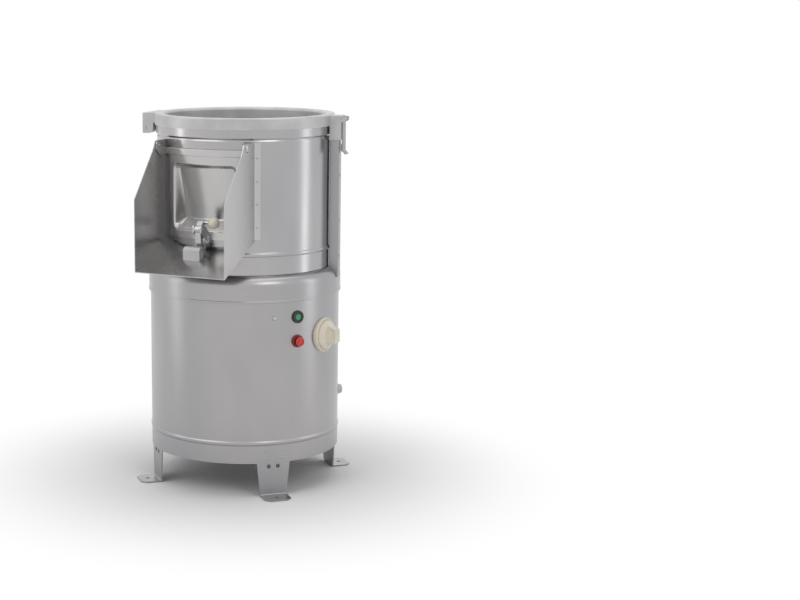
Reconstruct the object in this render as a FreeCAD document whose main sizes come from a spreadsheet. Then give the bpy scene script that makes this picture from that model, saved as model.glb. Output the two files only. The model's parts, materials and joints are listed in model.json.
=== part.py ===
"""Free-standing drum peeler for potatoes and roots, modelled piece by piece in millimetres.

The machine axis is Z and the feet stand on z = 0. The chute faces -Y. A bearing angle counts
from the chute towards +X, so the radial direction at angle a is (sin a, -cos a).
"""
import FreeCAD, Part
import math
import os
import re
import Sketcher

SIZES = {
    # base and its cap
    "leg_height": 77, "base_height": 359, "base_r": 215, "sheet": 1.5, "base_tuck": 26,
    "bead_up": 45, "bead_width": 10, "bead_rise": 1.6,
    "cap_lap": 2, "cap_band": 36, "cap_round": 22, "cap_hem": 4, "cap_lip": 0.8,
    "hub_hole_r": 62,
    # legs
    "leg_thick": 3, "leg_top_w": 77, "leg_foot_w": 60, "leg_tuck": 75, "leg_gap": 0.2,
    "foot_reach": 44, "foot_clip": 10, "leg_bend": 2, "leg_hole_r": 4.7, "leg_hole_side": 10.5,
    "leg_hole_drop": 9, "foot_hole_r": 4.5, "foot_hole_in": 20,
    # drum
    "drum_r": 198, "drum_height": 315.7, "drum_bead_up": 45, "groove_drop": 21.7,
    "groove_deep": 1, "band_rise": 2, "opening_side": 1.547684, "opening_corner": 4,
    "opening_margin": 3.5,
    "floor_up": 8, "floor_rise": 12, "floor_gap": 0.1,
    "liner_thick": 7, "liner_up": 62, "liner_drop": 28, "liner_gap": 0.3, "liner_side": 6,
    # cast ring
    "ring_gap": 0.3, "ring_height": 25, "ring_over": 5, "ring_lip": 18, "ring_edge": 3,
    "ring_mouth": 6,
    "lug_thick": 25.5, "lug_clear": 4.5, "lug_bite": 8, "lug_below_top": 2,
    "hinge_turn": -80, "hinge_lug_w": 96, "hinge_lug_h": 46, "hinge_in": 13, "hinge_drop": 36,
    "hinge_slot_w": 40, "hinge_pin_r": 4, "knuckle_r": 8, "bracket_w": 38, "bracket_low": 60,
    "latch_turn": 100, "latch_lug_w": 38, "latch_lug_h": 53, "run_fit": 0.05,
    # latch post and ring latch
    "post_w": 18, "post_depth": 22, "post_wall": 2, "post_gap": 0.5,
    "blade_w": 24, "blade_thick": 3, "blade_pin_r": 2.5, "blade_pin_drop": 7, "blade_long": 82,
    "ear_w": 5, "ear_gap": 0.5, "keeper_drop": 74,
    # drain
    "drain_turn": -120, "spout_up": 200, "spout_tilt": 20, "spout_root_r": 47.5,
    "spout_mouth_r": 41.5, "spout_wall": 2, "spout_cone": 18, "spout_collar": 17,
    "duct_r": 40, "duct_wall": 1.5, "duct_at": 148, "duct_bend": 44, "duct_out": 4,
    # chute
    "chute_side": 5, "chute_reach": 105, "wing_top": 289, "wing_knee": 266, "wing_nose": 169,
    "chute_low": 11, "chute_root": 76, "chute_bury": 35, "wing_run": 15, "wing_step": 29,
    "flange_w": 4, "flange_gap": 0.1,
    # discharge door
    "door_half": 27, "door_up": 78, "door_height": 176, "door_tail": 18, "gasket_thick": 2.2,
        "gasket_seat": 0.1,
    "door_sheet": 1.5, "dish_half": 23.5, "dish_side": 0.5, "mouth_low": 14, "mouth_high": 163,
    "dish_top_depth": 10, "dish_low_depth": 33, "dish_ramp": 24,
    "strip_up": 180, "strip_height": 15, "strip_thick": 2.5,
    "pivot_stand": 1, "pivot_up": 278, "ear_span": 35, "drum_span": 66, "ear_thick": 3, "pivot_r": 4,
    # door latch
    "hook_stand": 34.3, "base_stand": 12.3, "hook_up": 105, "hook_pin_r": 3, "cheek_side": 22,
        "cheek_thick": 4,
    "hook_hub_r": 8, "ball_r": 13, "ball_side": 40, "ball_back": 15, "ball_rise": 13,
    "arm_r": 3.5, "block_w": 40, "block_in": 4, "block_deep": 18,
    "block_top": 66,
    # rotor
    "disc_gap": 22, "disc_up": 46, "disc_thick": 12, "disc_rim": 14, "shaft_r": 15,
    "shaft_seat_r": 12, "nut_r": 18, "nut_height": 18, "housing_r": 38, "bearing_r": 31,
    "housing_depth": 120, "bearing_h": 18, "seal_h": 10,
    # drive
    "deck_up": 118, "deck_thick": 4, "deck_gap": 0.2, "motor_at": 112, "motor_r": 66,
    "motor_h": 205, "fin_count": 16, "pulley_r": 78, "motor_pulley_r": 30,
    "pulley_h": 16, "pulley_drop": 34, "belt_h": 9, "belt_deep": 8, "belt_gap": 0.4,
    "motor_shaft_r": 9.5,
    # controls
    "button_turn": 60, "green_drop": 35, "red_drop": 89, "button_r": 11, "bezel_r": 14.5,
    "bezel_out": 5, "cap_r_small": 7.5, "button_travel": 4, "red_cap_r": 10.5, "red_out": 13,
    "green_out": 4, "contact_w": 30, "contact_h": 34, "contact_deep": 42,
    "timer_turn": 82.5, "timer_drop": 86, "dial_r": 38.5, "dial_thick": 5, "knob_r": 32,
    "knob_dome": 12, "grip_out": 30, "grip_w": 20, "spindle_r": 4, "timer_box_r": 30,
    "timer_deep": 48,
    "screw_turn": 45, "screw_drop": 34, "screw_head_r": 5,
    "gland_turn": 127.5, "gland_up": 111, "gland_r": 12.5, "gland_out": 15, "gland_bore_r": 6.5,
    "gland_thread_r": 10, "stud_r": 4, "stud_out": 18,
}

# Places that follow other sizes. A piece names them as it names a size.
TIED = {
    "ring_r": "(drum_r + ring_over)",
    "ring_bore_r": "(drum_r - ring_lip)",
    "lug_inner": "(drum_r + lug_clear)",
    "lug_root": "(drum_r - lug_bite)",
    "lug_reach": "(drum_r + lug_clear + lug_thick)",
    "hinge_r": "(drum_r + lug_clear + hinge_in)",
    "disc_r": "(drum_r - disc_gap)",
    "opening_half_w": "(drum_r * sin(dish_half) + opening_side)",
    "ear_half": "(drum_r * ear_span / drum_span)",
    "chute_half": "(drum_r * ear_span / drum_span + chute_side)",
    "chute_front": "(drum_r + chute_reach)",
    "chute_back": "(drum_r - chute_bury)",
    "wing_flat": "(drum_r + wing_run)",
    "wing_slant": "(drum_r + wing_step)",
    "pivot_out": "(drum_r + pivot_stand)",
    "hook_out": "(drum_r + gasket_thick + door_sheet + hook_stand)",
    "block_back": "(drum_r + gasket_thick + door_sheet + hook_stand - block_in)",
    "block_front": "(drum_r + gasket_thick + door_sheet + hook_stand - block_in + block_deep)",
}

doc = FreeCAD.newDocument("peeler")
sheet = doc.addObject("Spreadsheet::Sheet", "Sizes")
for row, (alias, size) in enumerate(SIZES.items(), start=1):
    sheet.set(f"A{row}", alias)
    sheet.set(f"B{row}", str(size))
    sheet.setAlias(f"B{row}", alias)
doc.recompute()

# Levels that many pieces share, worked out from the sizes above.
CAP_LOW = "(leg_height + base_height)"
CAP_TOP = f"({CAP_LOW} + cap_band + cap_round)"
CAP_R = "(base_r + cap_lap + sheet)"
DRUM_LOW = CAP_TOP
DRUM_TOP = f"({DRUM_LOW} + drum_height)"
RING_LOW = f"({DRUM_TOP} + ring_gap)"
RING_TOP = f"({RING_LOW} + ring_height)"
LUG_TOP = f"({RING_TOP} - lug_below_top)"
DOOR_LOW = f"({DRUM_LOW} + door_up)"
DOOR_IN = "(drum_r + gasket_thick)"
DOOR_OUT = f"({DOOR_IN} + door_sheet)"
PIVOT_Z = f"({DRUM_LOW} + pivot_up)"
HOOK_Z = f"({DRUM_LOW} + hook_up)"
HINGE_Z = f"({RING_TOP} - hinge_drop)"
DECK_Z = "(leg_height + deck_up)"
PULLEY_Z = f"({DECK_Z} - pulley_drop)"
DISC_Z = f"({DRUM_LOW} + disc_up)"
BASE_IN = "(base_r - sheet)"
LEG_SEAT = f"sqrt(({BASE_IN} - leg_gap)^2 - (leg_top_w / 2)^2)"

nodes = []


def spelled(text):
    """Write out the tied places in terms of the sizes they follow."""
    return re.sub(r"[a-z_]+", lambda m: TIED.get(m.group(0), m.group(0)), str(text))


def cells(text):
    """Turn alias words into references to the sheet."""
    return re.sub(r"[a-z_]+", lambda m: "Sizes." + m.group(0) if m.group(0) in SIZES else m.group(0),
        spelled(text))


def number(text):
    return float(sheet.evalExpression(spelled(text)))


def bind(thing, prop, text):
    thing.setExpression(prop, cells(text))


def new_body(label, turn=None):
    """A body whose finished piece is a node. Its placement turns it about the machine axis."""
    body = doc.addObject("PartDesign::Body", label)
    body.Label = label
    if turn is not None:
        body.Placement = FreeCAD.Placement(FreeCAD.Vector(), FreeCAD.Rotation(FreeCAD.Vector(0, 0, 1), 1))
        bind(body, "Placement.Rotation.Angle", turn)
    nodes.append(body)
    return body


TURN_AXIS = {"XZ_Plane": (0, 1, 0), "YZ_Plane": (0, 1, 0), "XY_Plane": (0, 0, 1)}


def draw(body, plane="XZ_Plane", turn=None, lift=None, tilt=None, shift=None):
    """A sketch on one of the body's origin planes, turned about Z, lifted along its normal."""
    sketch = body.newObject("Sketcher::SketchObject", body.Name + "_sketch")
    support = [f for f in body.Origin.OriginFeatures if f.Role == plane][0]
    sketch.AttachmentSupport = [(support, "")]
    sketch.MapMode = "FlatFace"
    if turn is not None or tilt is not None:
        axis = FreeCAD.Vector(*(TURN_AXIS[plane] if tilt is None else (0, 0, 1)))
        sketch.AttachmentOffset = FreeCAD.Placement(FreeCAD.Vector(), FreeCAD.Rotation(axis, 1))
        bind(sketch, "AttachmentOffset.Rotation.Angle", turn if tilt is None else tilt)
    if lift is not None:
        bind(sketch, "AttachmentOffset.Base.z", lift)
    if shift is not None:
        bind(sketch, "AttachmentOffset.Base.x", shift[0])
        bind(sketch, "AttachmentOffset.Base.y", shift[1])
    return sketch


def fix(sketch, geometry, position, x_text, y_text):
    """Hold a point of the sketch at two coordinates taken from the sheet."""
    for kind, text in (("DistanceX", x_text), ("DistanceY", y_text)):
        made = sketch.addConstraint(Sketcher.Constraint(kind, -1, 1, geometry, position, number(text)))
        sketch.setExpression(f"Constraints[{made}]", cells(text))


def rounded(before, corner, after, radius):
    """Ends and centre of the arc that rounds a corner."""
    first = (before - corner).normalize()
    second = (after - corner).normalize()
    half = first.getAngle(second) / 2
    reach = radius / math.tan(half)
    centre = corner + (first + second).normalize() * (radius / math.sin(half))
    return corner + first * reach, centre, corner + second * reach


def add_arc(sketch, start, centre, end):
    """An arc of under a half turn between two points, and which of its ends is the first one."""
    first = math.atan2(start.y - centre.y, start.x - centre.x)
    last = math.atan2(end.y - centre.y, end.x - centre.x)
    turn = (last - first) % (2 * math.pi)
    low, high, head = (first, first + turn, 1) if turn < math.pi else (last, last - turn + 2 * math.pi, 2)
    ring = Part.Circle(centre, FreeCAD.Vector(0, 0, 1), centre.distanceToPoint(start))
    return sketch.addGeometry(Part.ArcOfCircle(ring, low, high), False), head


def round_corner(sketch, before, after, corner, ends, x_text, y_text, radius_text):
    """Join two runs by a tangent arc, with the sharp corner held from the sheet."""
    arc, head = add_arc(sketch, *ends)
    point = sketch.addGeometry(Part.Point(corner), True)
    fix(sketch, point, 1, x_text, y_text)
    sketch.addConstraint(Sketcher.Constraint("PointOnObject", point, 1, before))
    sketch.addConstraint(Sketcher.Constraint("PointOnObject", point, 1, after))
    sketch.addConstraint(Sketcher.Constraint("Tangent", before, 2, arc, head))
    sketch.addConstraint(Sketcher.Constraint("Tangent", after, 1, arc, 3 - head))
    made = sketch.addConstraint(Sketcher.Constraint("Radius", arc, number(radius_text)))
    sketch.setExpression(f"Constraints[{made}]", cells(radius_text))


def outline(sketch, points):
    """A closed outline of straight runs. A third value rounds that corner."""
    places = [FreeCAD.Vector(number(p[0]), number(p[1]), 0) for p in points]
    count = len(points)
    arcs = []
    for index, point in enumerate(points):
        here = places[index]
        after = places[(index + 1) % count]
        sharp = (here, None, here)
        arcs.append(rounded(places[index - 1], here, after, number(point[2])) if len(point) > 2 else sharp)
    lines = []
    for index in range(count):
        run = Part.LineSegment(arcs[index][2], arcs[(index + 1) % count][0])
        lines.append(sketch.addGeometry(run, False))
    for index, point in enumerate(points):
        before, after = lines[index - 1], lines[index]
        if len(point) > 2:
            round_corner(sketch, before, after, places[index], arcs[index], *point)
        else:
            sketch.addConstraint(Sketcher.Constraint("Coincident", before, 2, after, 1))
            fix(sketch, after, 1, point[0], point[1])
    return sketch


def circle(sketch, x_text, y_text, r_text):
    centre = FreeCAD.Vector(number(x_text), number(y_text), 0)
    made = sketch.addGeometry(Part.Circle(centre, FreeCAD.Vector(0, 0, 1), number(r_text)), False)
    fix(sketch, made, 3, x_text, y_text)
    radius = sketch.addConstraint(Sketcher.Constraint("Radius", made, number(r_text)))
    sketch.setExpression(f"Constraints[{radius}]", cells(r_text))
    return sketch


def box(sketch, left, low, right, high, corner=None):
    """A rectangle between two pairs of coordinates, with rounded corners where asked."""
    more = () if corner is None else (corner,)
    return outline(sketch, [(left, low) + more, (right, low) + more, (right, high) + more, (left,
        high) + more])


def extrude(body, kind, sketch, length, both=False, back=False):
    """A pad or pocket along the sketch's normal, or half to each side of it."""
    feature = body.newObject("PartDesign::" + kind, body.Name + "_" + kind.lower())
    feature.Profile = sketch
    feature.SideType = "Symmetric" if both else "One side"
    feature.Reversed = back if kind == "Pad" else not back
    bind(feature, "Length", length)
    return feature


def pad(body, sketch, length, both=False, back=False):
    return extrude(body, "Pad", sketch, length, both, back)


def cut(body, sketch, length, both=False, back=False):
    return extrude(body, "Pocket", sketch, length, both, back)


def revolve(body, sketch, kind="Revolution", angle=None, axis="V_Axis", middle=False, back=False):
    """A full or partial turn of a sketch about one of its own axes."""
    feature = body.newObject("PartDesign::" + kind, body.Name + "_" + kind.lower())
    feature.Profile = sketch
    feature.ReferenceAxis = (sketch, [axis])
    feature.Midplane = middle
    feature.Reversed = back
    if angle is None:
        feature.Angle = 360
    else:
        bind(feature, "Angle", angle)
    return feature


def polar(body, feature, count, axis="Z_Axis"):
    """Copies of a feature spaced round one of the body's axes."""
    pattern = body.newObject("PartDesign::PolarPattern", body.Name + "_pattern")
    pattern.Originals = [feature]
    line = [f for f in body.Origin.OriginFeatures if f.Role == axis][0]
    pattern.Axis = (line, [""])
    pattern.Angle = 360
    bind(pattern, "Occurrences", count)
    body.Tip = pattern
    return pattern


def bead(radius, level, side=1):
    """Corners of a rolled bead on a wall, from its lower end to its upper end."""
    steps = ((-0.5, 0), (-0.25, 1), (0.25, 1), (0.5, 0))[::side]
    return [(f"{radius} + bead_rise * {up}", f"{level} + bead_width * {along}",
        "bead_width * 0.25") for along, up in steps]


def base_shell():
    body = new_body("base_shell")
    level = "(leg_height + bead_up)"
    points = [(BASE_IN, "leg_height"), ("base_r", "leg_height")] + bead("base_r", level)
    points += [("base_r", f"{CAP_LOW} + base_tuck"), (BASE_IN, f"{CAP_LOW} + base_tuck")]
    points += bead(BASE_IN, level, -1)
    revolve(body, outline(draw(body), points))
    buttons = draw(body, turn="button_turn")
    circle(buttons, "0", f"{CAP_LOW} - green_drop", "button_r + 0.3")
    circle(buttons, "0", f"{CAP_LOW} - red_drop", "button_r + 0.3")
    cut(body, buttons, "base_r + 20")
    timer = draw(body, turn="timer_turn")
    cut(body, circle(timer, "0", f"{CAP_LOW} - timer_drop", "spindle_r + 2"), "base_r + 20")
    screw = draw(body, turn="screw_turn")
    cut(body, circle(screw, "0", f"{CAP_LOW} - screw_drop", "screw_head_r * 0.6"), "base_r + 20")
    gland = draw(body, turn="gland_turn")
    cut(body, circle(gland, "0", "leg_height + gland_up", "gland_thread_r + 0.3"), "base_r + 20")
    drain = draw(body, turn="drain_turn")
    cut(body, circle(drain, "0", "leg_height + spout_up", "duct_r / cos(spout_tilt) + 1"), "base_r + 20")


def base_cap():
    body = new_body("base_cap")
    inner = f"({CAP_R} - sheet)"
    points = [(inner, CAP_LOW), (f"{CAP_R} + cap_lip", CAP_LOW, "cap_lip"),
              (f"{CAP_R} + cap_lip", f"{CAP_LOW} + cap_hem", "cap_lip"),
              (CAP_R, f"{CAP_LOW} + cap_hem + cap_lip"),
              (CAP_R, CAP_TOP, "cap_round"), ("hub_hole_r", CAP_TOP), ("hub_hole_r", f"{CAP_TOP} - sheet"),
              (inner, f"{CAP_TOP} - sheet", "cap_round - sheet")]
    revolve(body, outline(draw(body), points))
    way = draw(body, "XY_Plane", turn="drain_turn", lift=f"{CAP_TOP} + 5")
    cut(body, circle(way, "0", "-duct_at", "duct_r + 1"), "sheet + 10", back=True)


def leg(label, turn):
    body = new_body(label, turn)
    inner = f"({LEG_SEAT} - leg_thick)"
    side = draw(body, "YZ_Plane")
    outline(side, [(f"-{inner}", "leg_height + leg_tuck"), (f"-{LEG_SEAT}", "leg_height + leg_tuck"),
                   (f"-{LEG_SEAT}", "leg_thick", "leg_bend"), (f"-{LEG_SEAT} - foot_reach", "leg_thick"),
                   (f"-{LEG_SEAT} - foot_reach", "0"), (f"-{inner}", "0", "leg_bend + leg_thick")])
    pad(body, side, "leg_top_w", both=True)
    taper = draw(body)
    for sign in ("", "-"):
        outline(taper, [(f"{sign}leg_foot_w / 2", "0"), (f"{sign}(leg_top_w / 2 + 5)", "-1"),
                        (f"{sign}(leg_top_w / 2 + 5)", "leg_height"),
                        (f"{sign}leg_top_w / 2", "leg_height")])
        circle(taper, f"{sign}leg_hole_side", "leg_height - leg_hole_drop", "leg_hole_r")
    cut(body, taper, "base_r + foot_reach + 20")
    foot = draw(body, "XY_Plane", lift="-1")
    end = f"({LEG_SEAT} + foot_reach)"
    for sign in ("", "-"):
        outline(foot, [(f"{sign}(leg_foot_w / 2 + 5)", f"-{end} - 5"),
            (f"{sign}(leg_foot_w / 2 - foot_clip)", f"-{end} - 5"),
                       (f"{sign}(leg_foot_w / 2 - foot_clip)", f"-{end}"),
                       (f"{sign}(leg_foot_w / 2 + 5)", f"-{end} + foot_clip + 5")])
    circle(foot, "0", f"-{end} + foot_hole_in", "foot_hole_r")
    cut(body, foot, "leg_thick + 2")


def drum_shell():
    body = new_body("drum_shell")
    inside = "(drum_r - sheet)"
    level = f"({DRUM_LOW} + drum_bead_up)"
    groove = f"({DRUM_TOP} - groove_drop)"
    points = [(inside, DRUM_LOW), ("drum_r", DRUM_LOW, "sheet * 0.6")] + bead("drum_r", level)
    points += [("drum_r", f"{groove} - 3"), ("drum_r - groove_deep", groove),
        ("drum_r + band_rise", f"{groove} + 4"),
               ("drum_r + band_rise", DRUM_TOP), (f"{inside} + band_rise", DRUM_TOP),
               (f"{inside} + band_rise", f"{groove} + 4"),
               (f"{inside} - groove_deep", groove), (inside, f"{groove} - 3")]
    points += bead(inside, level, -1)
    revolve(body, outline(draw(body), points))
    door = draw(body)
    box(door, "-opening_half_w", f"{DOOR_LOW} + mouth_low - door_sheet - opening_margin", "opening_half_w",
        f"{DOOR_LOW} + mouth_high + door_sheet + opening_margin", "opening_corner")
    cut(body, door, "drum_r + 20")


def chamber_floor():
    body = new_body("chamber_floor")
    rim = "(drum_r - sheet - floor_gap)"
    low = f"({DRUM_LOW} + floor_up)"
    hub = "(housing_r + 1)"
    points = [(hub, f"{low} + floor_rise"), (rim, low), (rim, f"{low} - sheet"),
        (hub, f"{low} + floor_rise - sheet")]
    revolve(body, outline(draw(body), points))
    way = draw(body, "XY_Plane", turn="drain_turn", lift=f"{low} + floor_rise + 10")
    cut(body, circle(way, "0", "-duct_at", "duct_r - duct_wall"), "floor_rise + 30", back=True)


def abrasive_liner():
    body = new_body("abrasive_liner")
    outer = "(drum_r - sheet - liner_gap)"
    side = draw(body, turn="90")
    box(side, f"{outer} - liner_thick", f"{DRUM_LOW} + liner_up", outer, f"{DRUM_TOP} - liner_drop")
    revolve(body, side, angle="360 - 2 * (door_half + liner_side)", middle=True)


def duct_path(body, points, radius):
    """A bent line of two straight runs and the arc between them."""
    path = draw(body, "YZ_Plane")
    places = [FreeCAD.Vector(number(x), number(z), 0) for x, z in points]
    ends = rounded(*places, number(radius))
    first = path.addGeometry(Part.LineSegment(places[0], ends[0]), False)
    last = path.addGeometry(Part.LineSegment(ends[2], places[2]), False)
    fix(path, first, 1, *points[0])
    fix(path, last, 2, *points[2])
    round_corner(path, first, last, places[1], ends, *points[1], radius)
    return path


def drain_duct():
    body = new_body("drain_duct", "drain_turn")
    slope = "floor_rise / (drum_r - sheet - floor_gap - housing_r - 1)"
    top = f"({DRUM_LOW} + floor_up - sheet + (drum_r - sheet - duct_at - duct_r) * {slope})"
    knee = "(leg_height + spout_up + (base_r - duct_at) * tan(spout_tilt))"
    points = [("-duct_at", top), ("-duct_at", knee), ("-(base_r + duct_out)",
        "leg_height + spout_up - duct_out * tan(spout_tilt)")]
    for kind, radius in (("AdditivePipe", "duct_r"), ("SubtractivePipe", "duct_r - duct_wall")):
        path = duct_path(body, points, "duct_bend")
        ring = circle(draw(body, "XY_Plane", lift=top), "0", "-duct_at", radius)
        doc.recompute()
        pipe = body.newObject("PartDesign::" + kind, "drain_duct_" + kind)
        pipe.Profile = ring
        pipe.Spine = path


def drain_spout():
    body = new_body("drain_spout", "drain_turn")
    side = draw(body, "YZ_Plane", tilt="spout_tilt", shift=("-base_r", "leg_height + spout_up"))
    inside = "spout_cone"
    reach = "(spout_cone + spout_collar)"
    points = [(inside, "spout_root_r"), ("0", "spout_root_r"), ("-spout_cone", "spout_mouth_r"),
        (f"-{reach}", "spout_mouth_r"),
              (f"-{reach}", "spout_mouth_r - spout_wall"), ("-spout_cone", "spout_mouth_r - spout_wall"),
              ("0", "spout_root_r - spout_wall"), (inside, "spout_root_r - spout_wall")]
    revolve(body, outline(side, points), axis="H_Axis")
    clear = draw(body)
    box(clear, "0", "leg_height + spout_up - 2 * spout_root_r", "base_r + 0.05",
        "leg_height + spout_up + 2 * spout_root_r")
    revolve(body, clear, "Groove")


def chute():
    body = new_body("chute")
    low = f"{DRUM_LOW} + chute_low"
    root = f"{DRUM_LOW} + chute_root"
    top = f"{DRUM_LOW} + wing_top"
    side = draw(body, "YZ_Plane")
    outline(side, [("-chute_back", root), ("-chute_back", top), ("-wing_flat", top, "9"),
                   ("-wing_slant", f"{DRUM_LOW} + wing_knee - 2", "12"),
                   ("-chute_front", f"{DRUM_LOW} + wing_nose"), ("-chute_front", low)])
    pad(body, side, "2 * chute_half", both=True)
    hollow = draw(body, "YZ_Plane")
    outline(hollow, [("-chute_back + 20", f"{root} + sheet * 1.1 + 9.3"), ("-chute_back + 20",
        f"{top} + 5"), ("-chute_front - 20", f"{top} + 5"),
                     ("-chute_front - 20", f"{low} + sheet * 1.1 - 9.3")])
    cut(body, hollow, "2 * (chute_half - sheet)", both=True)
    clear = draw(body)
    box(clear, "0", f"{DRUM_LOW} - 5", "drum_r + flange_gap", f"{top} + 5")
    revolve(body, clear, "Groove")
    pivots = draw(body, "YZ_Plane")
    cut(body, circle(pivots, "-pivot_out", PIVOT_Z, "pivot_r + 0.02"), "2 * chute_half + 4", both=True)
    start = "asin((chute_half - sheet) / (drum_r + flange_gap)) / 1 deg"
    for bearing in (f"{start} + flange_w / 2 - 90", f"-90 - {start} - flange_w / 2"):
        flange = draw(body, turn=bearing)
        box(flange, "drum_r + flange_gap", f"{root} + 3", "drum_r + flange_gap + sheet", top)
        revolve(body, flange, angle="flange_w", middle=True)


def latch_post():
    body = new_body("latch_post", "latch_turn")
    plan = draw(body, "XY_Plane", lift=f"{CAP_LOW} + cap_band")
    inner = "(drum_r + band_rise + post_gap)"
    outer = "(drum_r + band_rise + post_gap + post_depth)"
    box(plan, "-post_w / 2", f"-{outer}", "post_w / 2", f"-{inner}", "1.5")
    pad(body, plan, f"{LUG_TOP} - latch_lug_h - 1 - {CAP_LOW} - cap_band")
    bore = draw(body, "XY_Plane", lift=f"{CAP_LOW} + cap_band - 1")
    box(bore, "-post_w / 2 + post_wall", f"-{outer} + post_wall", "post_w / 2 - post_wall", f"-{inner} + 5")
    cut(body, bore, "drum_height + 40")
    seat = draw(body)
    outline(seat, [("base_r - 80", f"{CAP_LOW} - 5"), (f"{CAP_R} + 0.05", f"{CAP_LOW} - 5"),
        (f"{CAP_R} + 0.05", f"{CAP_TOP} + 0.05", "cap_round"),
                   ("base_r - 80", f"{CAP_TOP} + 0.05")])
    revolve(body, seat, "Groove")
    keeper = draw(body, "YZ_Plane")
    level = f"({RING_TOP} - keeper_drop)"
    outline(keeper, [(f"-{outer} + 0.5", level), (f"-{outer} + 0.5", f"{level} + 9"), (f"-{outer} - 1",
        f"{level} + 9"), (f"-{outer} - 3.5", f"{level} + 3"), (f"-{outer} - 3.5", level)])
    pad(body, keeper, "post_w - 4", both=True)


def hinge_bracket():
    body = new_body("hinge_bracket", "hinge_turn")
    side = draw(body, "YZ_Plane")
    wall = "(drum_r + band_rise)"
    outline(side, [(f"-{wall} + 6", f"{HINGE_Z} + 6"), (f"-{wall} + 6", f"{RING_TOP} - bracket_low"),
        (f"-{wall} - 2", f"{RING_TOP} - bracket_low"),
                   (f"-{wall} - 2", f"{HINGE_Z} - 6"), ("-hinge_r", f"{HINGE_Z} - 6"),
                   ("-hinge_r", f"{HINGE_Z} + 6")])
    pad(body, side, "bracket_w", both=True)
    knuckle = draw(body, "YZ_Plane")
    pad(body, circle(knuckle, "-hinge_r", HINGE_Z, "knuckle_r"), "bracket_w", both=True)
    clear = draw(body)
    outline(clear, [("0", f"{RING_TOP} - 90"), ("drum_r + 0.1", f"{RING_TOP} - 90"), ("drum_r + 0.1",
        f"{DRUM_TOP} - groove_drop"),
                    (f"{wall} + 0.1", f"{DRUM_TOP} - groove_drop"), (f"{wall} + 0.1", f"{RING_TOP} + 5"),
                    ("0", f"{RING_TOP} + 5")])
    revolve(body, clear, "Groove")
    bore = draw(body, "YZ_Plane")
    cut(body, circle(bore, "-hinge_r", HINGE_Z, "hinge_pin_r + 0.02"), "bracket_w + 4", both=True)


def hinge_pin():
    body = new_body("hinge_pin", "hinge_turn")
    side = draw(body, "YZ_Plane")
    pad(body, circle(side, "-hinge_r", HINGE_Z, "hinge_pin_r"), "hinge_lug_w - 4", both=True)


def top_ring():
    body = new_body("top_ring")
    section = [("ring_bore_r", RING_LOW), ("ring_r", RING_LOW), ("ring_r", RING_TOP, "ring_edge"),
        ("ring_bore_r", RING_TOP, "ring_mouth")]
    revolve(body, outline(draw(body), section))
    wide = draw(body, "YZ_Plane", turn="hinge_turn")
    low = f"({LUG_TOP} - hinge_lug_h)"
    outline(wide, [("-lug_root", LUG_TOP), ("-lug_root", f"{RING_LOW} + 1"), ("-lug_inner",
        f"{RING_LOW} + 1"), ("-lug_inner", low, "12"),
                   ("-lug_reach", low, "1.5"), ("-lug_reach", LUG_TOP, "2.5")])
    pad(body, wide, "hinge_lug_w", both=True)
    slot = draw(body, "YZ_Plane", turn="hinge_turn")
    box(slot, "-lug_reach + 4", f"{low} - 1", "-lug_inner + 3", f"{RING_LOW} + 0.5")
    cut(body, slot, "hinge_slot_w", both=True)
    bore = draw(body, "YZ_Plane", turn="hinge_turn")
    cut(body, circle(bore, "-hinge_r", HINGE_Z, "hinge_pin_r + run_fit"), "hinge_lug_w + 4", both=True)
    narrow = draw(body, "YZ_Plane", turn="latch_turn")
    foot = f"({LUG_TOP} - latch_lug_h)"
    outline(narrow, [("-lug_root", LUG_TOP), ("-lug_root", f"{RING_LOW} + 1"), ("-lug_inner",
        f"{RING_LOW} + 1"), ("-lug_inner", foot, "1.5"),
                     ("-lug_reach", foot, "1.5"), ("-lug_reach", LUG_TOP, "2.5")])
    pad(body, narrow, "latch_lug_w", both=True)
    ears = draw(body, "YZ_Plane", turn="latch_turn")
    pin_u = "(lug_reach + blade_thick + 2)"
    pin_z = f"({LUG_TOP} - blade_pin_drop)"
    outline(ears, [("-lug_reach + 2", f"{pin_z} + 5"), ("-lug_reach + 2", f"{pin_z} - 8"), ("-lug_reach",
        f"{pin_z} - 8"),
                   (f"-{pin_u} - 4.5", f"{pin_z} - 4.5", "3"), (f"-{pin_u} - 4.5", f"{pin_z} + 5", "3")])
    pad(body, ears, "blade_w + 2 * ear_gap + 2 * ear_w", both=True)
    between = draw(body, "YZ_Plane", turn="latch_turn")
    box(between, f"-{pin_u} - 10", f"{pin_z} - 12", "-lug_reach", f"{pin_z} + 10")
    cut(body, between, "blade_w + 2 * ear_gap", both=True)
    hole = draw(body, "YZ_Plane", turn="latch_turn")
    cut(body, circle(hole, f"-{pin_u}", pin_z, "blade_pin_r + 0.02"), "latch_lug_w + 10", both=True)


def latch_pin():
    body = new_body("latch_pin", "latch_turn")
    side = draw(body, "YZ_Plane")
    spot = ("-lug_reach - blade_thick - 2", f"{LUG_TOP} - blade_pin_drop")
    pad(body, circle(side, *spot, "blade_pin_r"), "blade_w + 2 * ear_gap + 2 * ear_w + 1", both=True)


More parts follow.
